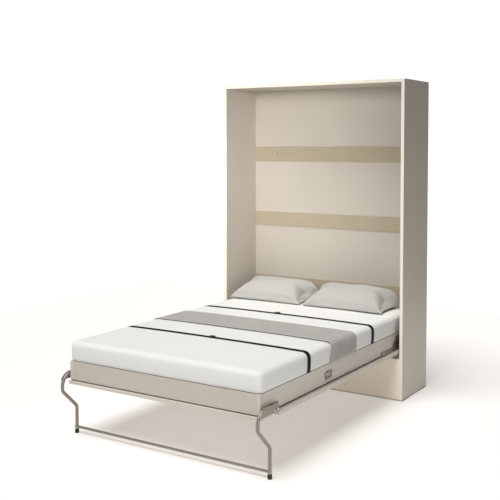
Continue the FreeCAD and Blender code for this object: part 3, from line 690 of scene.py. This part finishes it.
def evenly(span: Span, step: float) -> list[float]:
    """Evenly spaced values strictly inside a span, about one step apart."""
    count = max(1, round((span[1] - span[0]) / step))
    return [span[0] + (span[1] - span[0]) * i / count for i in range(1, count)]


def settle(obj: bpy.types.Object, body: str, slot: str, *nodes: str) -> bpy.types.Object:
    """Tie a finished piece to its body, hide the CAD nodes that it stands for, and log it.

    Args:
        obj: the finished piece.
        body: the body that carries it.
        slot: the record's material slot; not used.
        *nodes: the CAD nodes that it stands for.

    Returns:
        The same piece.
    """
    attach(obj, body)
    if nodes:
        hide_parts(*nodes)
    LOG.info("made %s: %d faces on %s", obj.name, len(obj.data.polygons), body)
    return obj


# ---------------------------------------------------------------------------------------------
# Cabinet, bed frame, leg and springs
# ---------------------------------------------------------------------------------------------


@dataclass
class Cabinet:
    """The fixed box: its boards and the ironmongery on its sides."""

    palette: Palette
    finish_of: dict[str, tuple[str, ...]] = field(
        default_factory=lambda: {
            "carcass": ("side_panel_left", "side_panel_right"),
            "shelf_edge": ("top_panel", "kick_panel", "rear_bottom_rail"),
            "cross_rail": ("cross_rail_top", "cross_rail_middle", "cross_rail_lower"),
            "back": ("back_panel_top", "back_panel_upper", "back_panel_lower", "back_panel_bottom"),
            "zinc": ("cam_fittings", "pivot_pins", "spring_anchors", "cabinet_screws"),
            "bracket": ("pivot_plate_left", "pivot_plate_right"),
            "plastic": ("floor_glides",),
            "rubber": ("stop_pads",),
        }
    )

    def build(self) -> None:
        """Dress every node of the cabinet."""
        for key, nodes in self.finish_of.items():
            for node in nodes:
                self.palette.dress(node, key)


@dataclass
class BedFrame:
    """The swinging box: rails, boards, slats and brackets."""

    palette: Palette
    finish_of: dict[str, tuple[str, ...]] = field(
        default_factory=lambda: {
            "bed_board": ("rail_foot_left", "rail_foot_right", "rail_head_left", "rail_head_right"),
            "footboard": ("footboard", "head_rail"),
            "door": ("door_panel_foot", "door_panel_head"),
            "birch": ("bed_slats", "cross_beams"),
            "batten": ("slat_ledgers", "centre_beam"),
            "plastic": ("slat_caps", "pivot_bushes"),
            "bracket": (
                "pivot_bracket_left", "pivot_bracket_right", "rail_joint_plate_left",
                "rail_joint_plate_right", "leg_bracket_left", "leg_bracket_right", "door_cleats",
            ),
            "zinc": ("frame_bolts", "leg_pivot_bolts", "spring_studs"),
        }
    )

    def build(self) -> None:
        """Dress every node of the frame."""
        for key, nodes in self.finish_of.items():
            for node in nodes:
                self.palette.dress(node, key)


@dataclass
class FootLeg:
    """The bail at the foot: two bent tubes, a crossbar and rubber caps."""

    palette: Palette

    def build(self) -> None:
        """Dress the leg's nodes."""
        for node in ("leg_tube_left", "leg_tube_right", "leg_crossbar"):
            self.palette.dress(node, "leg")
        self.palette.dress("leg_foot_caps", "plastic")
        self.palette.dress("leg_bolts", "zinc")


@dataclass
class GasSprings:
    """One gas spring in the gap on each side."""

    palette: Palette

    def build(self) -> None:
        """Dress cylinders and rods."""
        for side in Side:
            self.palette.dress("spring_cylinder_" + side.word, "lacquer")
            self.palette.dress("spring_rod_" + side.word, "chrome")


# ---------------------------------------------------------------------------------------------
# Bedding
# ---------------------------------------------------------------------------------------------


@dataclass
class MattressForm:
    """The mattress's outer surface, which the straps and the runner follow too.

    Attributes:
        rail_inner: half the width of the part between the rails.
        rail_outer: half the width of the part above the rails.
        rail_top: height of the rails.
        foot: y of the foot end above and between the rails.
        head: y of the head end between and above the rails.
        bottom: height of the underside.
        top: height of the top surface.
        strap_spots: y of each strap's middle line.
        corner: radius of the rounded edges.
        crown: how much lower the edges lie than the middle.
        crown_run: length over which the ends fall away.
        strap_dip: depth of the furrow under a strap.
        strap_reach: how far the furrow spreads along the bed.
        strap_bite: share of the dip that shows on the surface.
        swell: how far the sides belly out.
    """

    rail_inner: float
    rail_outer: float
    rail_top: float
    foot: Span
    head: Span
    bottom: float
    top: float
    strap_spots: tuple[float, ...]
    corner: float = 0.030
    crown: float = 0.005
    strap_dip: float = 0.0035
    strap_reach: float = 0.045
    strap_bite: float = 0.8
    crown_run: float = 0.25
    swell: float = 0.0045

    @classmethod
    def from_frame(cls) -> "MattressForm":
        """Read the sizes from the CAD nodes."""
        low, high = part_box("mattress")
        rail_low, rail_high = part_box("rail_foot_right")
        foot_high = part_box("footboard")[1]
        head_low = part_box("head_rail")[0]
        gap = 2.5 * MM
        foot_overhang = 1.5 * MM
        return cls(
            rail_inner=rail_low.x - gap,
            rail_outer=high.x + gap,
            rail_top=rail_high.z,
            foot=(low.y - foot_overhang, foot_high.y + gap),
            head=(head_low.y - gap, high.y),
            bottom=low.z,
            top=high.z,
            strap_spots=tuple(sum(c.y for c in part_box("strap_" + end)) / 2.0 for end in ("foot", "head")),
        )

    @property
    def half(self) -> float:
        """Half the width of the upper part."""
        return self.rail_outer

    def dip(self, y: float) -> float:
        """How far the straps pull the surface in at a place along the bed."""
        pulls = (math.exp(-(((y - spot) / self.strap_reach) ** 2)) for spot in self.strap_spots)
        return self.strap_dip * sum(pulls)

    def height(self, x: float, y: float) -> float:
        """Height of the top surface away from its rounded edges."""
        share = 1.0 - (abs(x) / self.half) ** 2.5
        ends = clamp(min(y - self.foot[0], self.head[1] - y) / self.crown_run)
        return self.top - self.crown * (1.0 - share * ends) - self.dip(y) * self.strap_bite

    def section(self, y: float, low: float, lift: float) -> list[tuple[float, float]]:
        """The right half of the cross-section at y, from the middle of the top down to a height.

        Args:
            y: place along the bed.
            low: height where the line ends.
            lift: distance outside the surface.

        Returns:
            Points (x, z), evenly enough spaced to bend a band over.
        """
        top_steps, corner_steps, side_steps = 40, 12, 10
        flat_end = self.half - self.corner
        middle_x = flat_end - self.dip(y) * self.strap_bite
        middle_z = self.height(flat_end, y) - self.corner
        reach = self.corner + lift
        spots = [flat_end * i / top_steps for i in range(top_steps)]
        points = [(x, self.height(x, y) + lift) for x in spots]
        turns = [math.radians(90.0 * i / corner_steps) for i in range(corner_steps + 1)]
        points += [(middle_x + reach * math.sin(a), middle_z + reach * math.cos(a)) for a in turns]
        side_x, side_z = points[-1]
        drop = (low - side_z) / side_steps
        points += [(side_x, side_z + drop * i) for i in range(1, side_steps + 1)]
        return [(x + self.bulge(x, z), z) for x, z in points]

    def bulge(self, x: float, z: float) -> float:
        """How far the side swells out at a place on it."""
        level = clamp((z - self.rail_top) / (self.top - self.rail_top))
        return self.swell * math.sin(math.pi * level) * (abs(x) / self.half) ** 12


@dataclass
class Mattress:
    """The mattress: its lower part sits in the box and its upper part swells over the rails.

    Attributes:
        palette: where its finish comes from.
        form: its outer surface.
        pucker: height of the small unevenness on its top.
        dimple: share by which the swelling of its sides varies.
        grid: spacing of its cuts.
        step_start: height above the rails where it starts to widen.
        step_height: height over which it widens.
        rim: share of its half width that the uneven rim takes up.
    """

    palette: Palette
    form: MattressForm
    pucker: float = 0.0016
    dimple: float = 0.3
    grid: float = 0.022
    step_start: float = 0.0004
    step_height: float = 0.0045
    rim: float = 0.10

    def pushed(self, point: Vector) -> Vector:
        """Where a point of the plain block ends up.

        Args:
            point: a vertex of the block, whose sides stand at the lower part's edge.

        Returns:
            The point on the swollen, strapped mattress.
        """
        form = self.form
        widening = smooth_step((point.z - form.rail_top - self.step_start) / self.step_height)
        middle = (form.foot[1] + form.head[0]) / 2.0
        half_length = (form.head[0] - form.foot[1]) / 2.0
        x_share = point.x / form.rail_inner
        y_share = (point.y - middle) / half_length
        reach_y = (form.head[1] - form.foot[0]) / 2.0 - half_length
        x = point.x + (form.rail_outer - form.rail_inner) * widening * x_share
        y = point.y + reach_y * widening * y_share
        level = (point.z - form.bottom) / (form.top - form.bottom)
        drop = form.top - form.height(max(-form.half, min(form.half, x)), y)
        z = point.z - drop * max(0.0, level) ** 3
        rim = max(0.0, max(abs(x_share), abs(y_share)) - 1.0 + self.rim) / self.rim
        soft = noise.noise(Vector((x * 9.0, y * 9.0, z * 6.0))) * 1.2
        fine = noise.noise(Vector((x * 26.0, y * 26.0, z * 14.0)))
        z += self.pucker * (soft * 0.6 + fine * rim) * level
        squeeze = form.dip(y) * form.strap_bite * widening * abs(x_share) ** 8
        x -= math.copysign(squeeze, x)
        uneven = 1.0 + self.dimple * fine
        x += math.copysign(form.bulge(x, z) * uneven, x_share)
        y += math.copysign(form.bulge(form.half, z) * uneven, y_share) * abs(y_share) ** 12
        return Vector((x, y, z))

    def build(self) -> bpy.types.Object:
        """Make the mattress."""
        form = self.form
        low = Vector((-form.rail_inner, form.foot[1], form.bottom))
        high = Vector((form.rail_inner, form.head[0], form.top))
        shaper = Shaper().block(low, high)
        shaper.round_edges(form.corner, 7)
        inset = form.corner
        shaper.slice(Axis.X, evenly((low.x + inset, high.x - inset), self.grid))
        shaper.slice(Axis.Y, evenly((low.y + inset, high.y - inset), self.grid))
        cuts = 5
        levels = [form.rail_top + self.step_start + self.step_height * i / cuts for i in range(cuts + 1)]
        shaper.slice(Axis.Z, levels + evenly((levels[-1], high.z - inset), 14.0 * MM))
        shaper.warp(self.pushed)
        piece = shaper.finish("mattress_cover", self.palette.get("knit"), 80.0)
        return settle(piece, "bed", "mattress_knit", "mattress")


@dataclass
class Band:
    """A flat band laid over the mattress: a strap or the runner.

    Attributes:
        form: the surface that it lies on.
        name: the piece's name.
        across: its span along the bed.
        thickness: thickness of the cloth.
        lift: gap between it and the mattress.
        low: height of its ends.
        ripple: height of its small waves.
        flare: how far its foot side spreads where it hangs.
        step: spacing of its cuts along its length.
        border: distance from its edges to the first cut.
    """

    form: MattressForm
    name: str
    across: Span
    thickness: float
    lift: float
    low: float
    ripple: float = 0.0
    flare: float = 0.0
    step: float = 0.012
    border: float = 0.002

    def line(self) -> tuple[list[Vector], list[float]]:
        """The band's middle line and the distance to each of its points from the middle."""
        y = sum(self.across) / 2.0
        points = [Vector((x, 0.0, z)) for x, z in self.form.section(y, self.low, self.lift)]
        runs = [0.0]
        for a, b in zip(points, points[1:]):
            runs.append(runs[-1] + (b - a).length)
        return points, runs

    @property
    def length(self) -> float:
        """Length of the band from end to end."""
        return 2.0 * self.line()[1][-1]

    def laid(self, flat: Vector, points: list[Vector], runs: list[float]) -> Vector:
        """Lay one point of the flat band over the mattress.

        Args:
            flat: distance along the band, across it, and above its underside.
            points: middle line of one half.
            runs: distance to each point of that line.

        Returns:
            The point in place.
        """
        along = min(abs(flat.x), runs[-1] - 1e-7)
        index = max(i for i, run in enumerate(runs[:-1]) if run <= along)
        share = (along - runs[index]) / (runs[index + 1] - runs[index])
        before, after = points[index], points[index + 1]
        tangent = (after - before).normalized()
        outward = Vector((-tangent.z, 0.0, tangent.x))
        wave = self.ripple * noise.noise(Vector((flat.x * 5.0, flat.y * 14.0, 1.7)))
        place = before.lerp(after, share) + outward * (flat.z + max(0.0, wave))
        hang = max(0.0, (self.form.top - 0.02 - place.z) / 0.10)
        front = (self.across[1] - flat.y) / (self.across[1] - self.across[0])
        return Vector((math.copysign(place.x, flat.x), flat.y - self.flare * hang * front, place.z))

    def build(self, material: bpy.types.Material, slot: str, node: str) -> bpy.types.Object:
        """Make the band.

        Args:
            material: its finish.
            slot: the record's material slot; not used.
            node: the CAD node it stands for.

        Returns:
            The finished piece.
        """
        points, runs = self.line()
        half = runs[-1]
        shaper = Shaper().block(
            Vector((-half, self.across[0], 0.0)), Vector((half, self.across[1], self.thickness))
        )
        shaper.round_edges(self.thickness * 0.45, 2)
        shaper.slice(Axis.X, evenly((self.border - half, half - self.border), self.step))
        width = self.across[1] - self.across[0]
        inside = (self.across[0] + self.border, self.across[1] - self.border)
        shaper.slice(Axis.Y, evenly(inside, max(0.01, width / 16.0)))
        shaper.warp(lambda flat: self.laid(flat, points, runs))
        return settle(shaper.finish(self.name, material, 60.0), "bed", slot, node)


@dataclass
class Straps:
    """The two retaining straps with their buckles."""

    palette: Palette
    form: MattressForm
    lift: float = 0.0016
    thickness: float = 0.0016

    def build(self) -> None:
        """Make both straps."""
        for end in ("foot", "head"):
            low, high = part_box("strap_" + end)
            band = Band(
                self.form, f"strap_{end}_webbing", (low.y, high.y), self.thickness, self.lift,
                self.form.rail_top + 0.5 * MM,
            )
            band.build(self.palette.get("webbing"), "strap_webbing", "strap_" + end)
        self.palette.dress("strap_buckles", "plastic")


@dataclass
class Runner:
    """The folded throw across the bed."""

    palette: Palette
    form: MattressForm
    lift: float = 0.0018
    thickness: float = 0.0028

    def build(self) -> bpy.types.Object:
        """Make the runner."""
        low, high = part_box("bed_runner")
        band = Band(
            self.form, "runner_throw", (low.y, high.y), self.thickness, self.lift,
            self.form.rail_top + 1.0 * MM, ripple=0.0022, flare=0.022, step=0.014,
        )
        piece = band.build(self.palette.get("throw"), "runner_weave", "bed_runner")
        band.length
        return piece


@dataclass
class Pillow:
    """A soft pillow: a wedge with pinched corners, blown up a little by cloth simulation.

    Attributes:
        palette: where its finish comes from.
        side: which of the two it is.
        front_height: height at the front edge.
        rear_height: height of the crest.
        crest: place of the crest, from -1 at the front to 1 at the rear.
        rear_fall: share of the height that is lost behind the crest.
        pinch: share of the height that is lost at the side edges.
        lobe: place and reach of the fuller rear corners.
        tuck: depth of the fold across each side.
        tuck_span: place and reach of that fold.
        sag: height of the broad unevenness.
        taper: how far the sides lean in as they climb.
        lean: how much more the right side leans in than the left.
        waist: how far the edges pull in between the corners.
        overreach: how far the case stands past its place on each side.
        press: height below which the underside flattens.
        lead: how far the front edge stands in front of its place.
        grid: spacing of the cuts.
        voxel: cell size of the even mesh.
        frames: steps of the simulation.
        pressure: pressure inside the case.
        stiffness: stretch stiffness of the case.
        swell_limit: furthest that a point may move in the simulation.
    """

    palette: Palette
    side: Side
    front_height: float = 0.020
    rear_height: float = 0.140
    crest: float = 0.45
    rear_fall: float = 0.30
    lobe: Span = (0.72, 0.22)
    tuck_span: Span = (0.12, 0.26)
    sag: float = 0.008
    press: float = 0.010
    lead: float = 0.006
    pinch: float = 0.72
    waist: float = 0.045
    overreach: float = 0.014
    grid: float = 0.024
    voxel: float = 0.006
    frames: int = 20
    pressure: float = 4.0
    stiffness: float = 15.0
    swell_limit: float = 0.010
    tuck: float = 0.055
    taper: float = 0.165
    lean: float = 0.06

    def shaped(self, point: Vector, half: Vector) -> Vector:
        """Where a point of the unit-high block lies on the pillow at rest.

        Args:
            point: a vertex of the block, from 0 to 1 in height.
            half: half the block's width and length.

        Returns:
            The point on the wedge.
        """
        u, v = point.x / half.x, point.y / half.y
        climb = math.sin(math.pi / 2.0 * clamp((v + 1.0) / (1.0 + self.crest))) ** 0.85
        height = self.front_height + (self.rear_height - self.front_height) * climb
        height *= 1.0 - self.rear_fall * max(0.0, (v - self.crest) / (1.0 - self.crest)) ** 2
        edge = abs(u) ** 9 * (1.0 - 0.5 * hump(v, self.lobe))
        fold = self.tuck * hump(v, self.tuck_span) * abs(u) ** 3.5
        uneven = self.sag * noise.noise(Vector((u * 2.1, v * 1.8, 3.1 + self.side.value)))
        top = height * (1.0 - self.pinch * edge) + (uneven - fold) * (1.0 - edge)
        bottom = 0.10 * height * edge
        tent = (self.taper + self.lean * u) * climb * point.z * (1.0 - smooth_step((v - 0.30) / 0.45))
        x = point.x * (1.0 - self.waist * (1.0 - v * v) * abs(u) ** 3) * (1.0 - tent)
        y = point.y * (1.0 - self.waist * (1.0 - u * u) * abs(v) ** 3)
        return Vector((x, y, bottom + point.z * (top - bottom)))

    def wedge(self, size: Vector) -> bpy.types.Object:
        """Closed form of the pillow before it is blown up, remeshed evenly.

        Args:
            size: width, length and height of the pillow's place.

        Returns:
            The form, centred on the origin and standing on z = 0.
        """
        half = Vector((size.x / 2.0 + self.overreach, size.y / 2.0, 0.0))
        shaper = Shaper().block(Vector((-half.x, -half.y, 0.0)), Vector((half.x, half.y, 1.0)))
        shaper.slice(Axis.X, evenly((-half.x, half.x), self.grid))
        shaper.slice(Axis.Y, evenly((-half.y, half.y), self.grid))
        shaper.slice(Axis.Z, (0.25, 0.5, 0.75))
        shaper.warp(lambda point: self.shaped(point, half))
        bmesh.ops.smooth_vert(
            shaper.bm,
            verts=shaper.bm.verts,
            factor=0.5,
            use_axis_x=True,
            use_axis_y=True,
            use_axis_z=True,
        )
        obj = shaper.finish(f"pillow_{self.side.word}_case", self.palette.get("cotton"), 180.0)
        remesh = obj.modifiers.new("even", "REMESH")
        remesh.mode = "VOXEL"
        remesh.voxel_size = self.voxel
        self.apply(obj)
        return obj

    @staticmethod
    def apply(obj: bpy.types.Object) -> None:
        """Turn the modifiers' result into the object's own mesh."""
        depsgraph = bpy.context.evaluated_depsgraph_get()
        mesh = bpy.data.meshes.new_from_object(obj.evaluated_get(depsgraph))
        obj.modifiers.clear()
        old = obj.data
        obj.data = mesh
        bpy.data.meshes.remove(old)

    def inflate(self, obj: bpy.types.Object) -> None:
        """Blow the form up with cloth pressure and cap how far a point may move."""
        rest = [vert.co.copy() for vert in obj.data.vertices]
        cloth = obj.modifiers.new("blow", "CLOTH").settings
        cloth.use_pressure = True
        cloth.uniform_pressure_force = self.pressure
        cloth.effector_weights.gravity = 0.0
        cloth.quality = 5
        cloth.tension_stiffness = self.stiffness
        cloth.compression_stiffness = self.stiffness
        cloth.bending_stiffness = 0.2
        scene = bpy.context.scene
        for number in range(1, self.frames + 1):
            scene.frame_set(number)
        self.apply(obj)
        scene.frame_set(1)
        for vert, start in zip(obj.data.vertices, rest):
            move = vert.co - start
            if move.length > self.swell_limit:
                vert.co = start + move * (self.swell_limit / move.length)

    def lay(self, obj: bpy.types.Object, low: Vector, high: Vector) -> None:
        """Put the blown form on the mattress, with its underside pressed flat.

        Args:
            obj: the form, centred on the origin.
            low: lowest corner of its place.
            high: highest corner of its place.
        """
        middle_x = (low.x + high.x) / 2.0
        front = min(vert.co.y for vert in obj.data.vertices)
        for vert in obj.data.vertices:
            z = vert.co.z
            if z < self.press:
                z = self.press * math.exp((z - self.press) / self.press)
            vert.co = Vector((middle_x + vert.co.x, low.y - self.lead - front + vert.co.y, low.z + z))

    def build(self) -> bpy.types.Object:
        """Make the pillow."""
        node = "pillow_" + self.side.word
        low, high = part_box(node)
        obj = self.wedge(high - low)
        self.inflate(obj)
        self.lay(obj, low, high)
        smooth = obj.modifiers.new("soften", "SUBSURF")
        smooth.levels = 1
        smooth.render_levels = 1
        obj.data.shade_smooth()
        settle(obj, "bed", "pillow_cotton", node)
        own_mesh(obj)
        return obj


# ---------------------------------------------------------------------------------------------
# Studio
# ---------------------------------------------------------------------------------------------


@dataclass(frozen=True)
class SoftLight:
    """One square light panel."""

    name: str
    place: Rgb
    target: Rgb
    size: float
    power: float
    colour: Rgb = (1.0, 1.0, 1.0)
    spread: float = 170.0

    def build(self) -> None:
        """Hang the panel and point it at its target."""
        data = bpy.data.lights.new(self.name, "AREA")
        data.size = self.size
        data.energy = self.power
        data.color = self.colour
        data.spread = math.radians(self.spread)
        obj = bpy.data.objects.new(self.name, data)
        obj.location = self.place
        aim = Vector(self.target) - Vector(self.place)
        obj.rotation_euler = aim.to_track_quat("-Z", "Y").to_euler()
        obj.visible_camera = False
        bpy.context.scene.collection.objects.link(obj)


@dataclass
class Studio:
    """Camera, pale floor and soft light."""

    camera_place: Rgb = (2.9902, -4.7819, 1.7322)
    camera_turn: float = 32.596
    camera_tilt: float = 2.596
    lens: float = 62.597
    shift: float = -0.13
    floor_half: float = 4.0
    floor_colour: Rgb = (0.62, 0.615, 0.61)
    floor_glow: Rgb = (0.365, 0.345, 0.325)
    sky: float = 0.10
    backdrop: float = 1.05
    sun_direction: Rgb = (-0.08, -0.34, 0.94)
    sun_angle: float = 42.0
    sun_strength: float = 3.25
    panels: tuple[SoftLight, ...] = (
        SoftLight("side_panel", (3.2, -1.9, 0.8), (0.66, -1.2, 0.45), 0.7, 3.4, (1.0, 0.995, 0.98), 80.0),
        SoftLight("bay_panel", (0.9, -5.6, 3.0), (-0.3, 0.9, 1.7), 1.6, 8.0, (1.0, 0.985, 0.97), 40.0),
        SoftLight("wing_panel", (2.5, -4.4, 2.3), (-0.68, 0.9, 1.50), 0.6, 3.4, (1.0, 0.985, 0.965), 23.0),
    )

    def camera(self) -> None:
        """Set up the camera."""
        data = bpy.data.cameras.new("view")
        data.lens = self.lens
        data.sensor_width = 36.0
        data.shift_y = self.shift
        data.clip_end = 200.0
        obj = bpy.data.objects.new("view", data)
        obj.location = self.camera_place
        tilt = math.radians(90.0 - self.camera_tilt)
        obj.rotation_euler = Euler((tilt, 0.0, math.radians(self.camera_turn)))
        bpy.context.scene.collection.objects.link(obj)
        bpy.context.scene.camera = obj

    def floor(self) -> None:
        """Lay the floor."""
        shaper = Shaper()
        bmesh.ops.create_grid(shaper.bm, x_segments=4, y_segments=4, size=self.floor_half)
        graph = Graph("floor_paint")
        speckle = graph.noise(40.0, 2.0)
        colour = graph.mix(speckle, shade(self.floor_colour, 0.99), self.floor_colour)
        paint = graph.close(
            Base_Color=colour, Roughness=0.9, Specular_IOR_Level=0.1, Emission_Color=self.floor_glow,
            Emission_Strength=1.0,
        )
        shaper.finish("studio_floor", paint)

    def sun(self) -> None:
        """Add the broad light from above and in front."""
        data = bpy.data.lights.new("overhead", "SUN")
        data.energy = self.sun_strength
        data.angle = math.radians(self.sun_angle)
        data.color = (1.0, 0.992, 0.975)
        obj = bpy.data.objects.new("overhead", data)
        obj.rotation_euler = Vector(self.sun_direction).to_track_quat("Z", "Y").to_euler()
        bpy.context.scene.collection.objects.link(obj)

    def world(self) -> None:
        """White surroundings that add only a little light."""
        world = bpy.data.worlds.new("studio")
        world.use_nodes = True
        bpy.context.scene.world = world
        wiring = Wiring(world.node_tree)
        path = wiring.node("ShaderNodeLightPath", {}, {})
        cool, white = (0.98, 0.99, 1.0, 1.0), (1.0, 1.0, 1.0, 1.0)
        dim = wiring.node("ShaderNodeBackground", {}, {"Color": cool, "Strength": self.sky})
        bright = wiring.node("ShaderNodeBackground", {}, {"Color": white, "Strength": self.backdrop})
        seen = path.outputs["Is Camera Ray"]
        mixed = wiring.node("ShaderNodeMixShader", {}, {0: seen, 1: dim.outputs[0], 2: bright.outputs[0]})
        wiring.node("ShaderNodeOutputWorld", {}, {"Surface": mixed.outputs[0]})

    def build(self) -> None:
        """Set everything up."""
        self.camera()
        self.floor()
        self.world()
        self.sun()
        for panel in self.panels:
            panel.build()
        view = bpy.context.scene.view_settings
        view.view_transform = "Standard"
        view.look = "None"


def main() -> None:
    """Build the studio and every sub-assembly in order."""
    logging.basicConfig(level=logging.INFO, format="%(name)s: %(message)s")
    palette = Palette()
    Studio().build()
    Cabinet(palette).build()
    BedFrame(palette).build()
    FootLeg(palette).build()
    GasSprings(palette).build()
    form = MattressForm.from_frame()
    Mattress(palette, form).build()
    Straps(palette, form).build()
    Runner(palette, form).build()
    for side in Side:
        Pillow(palette, side).build()


if __name__ == "__main__":
    main()
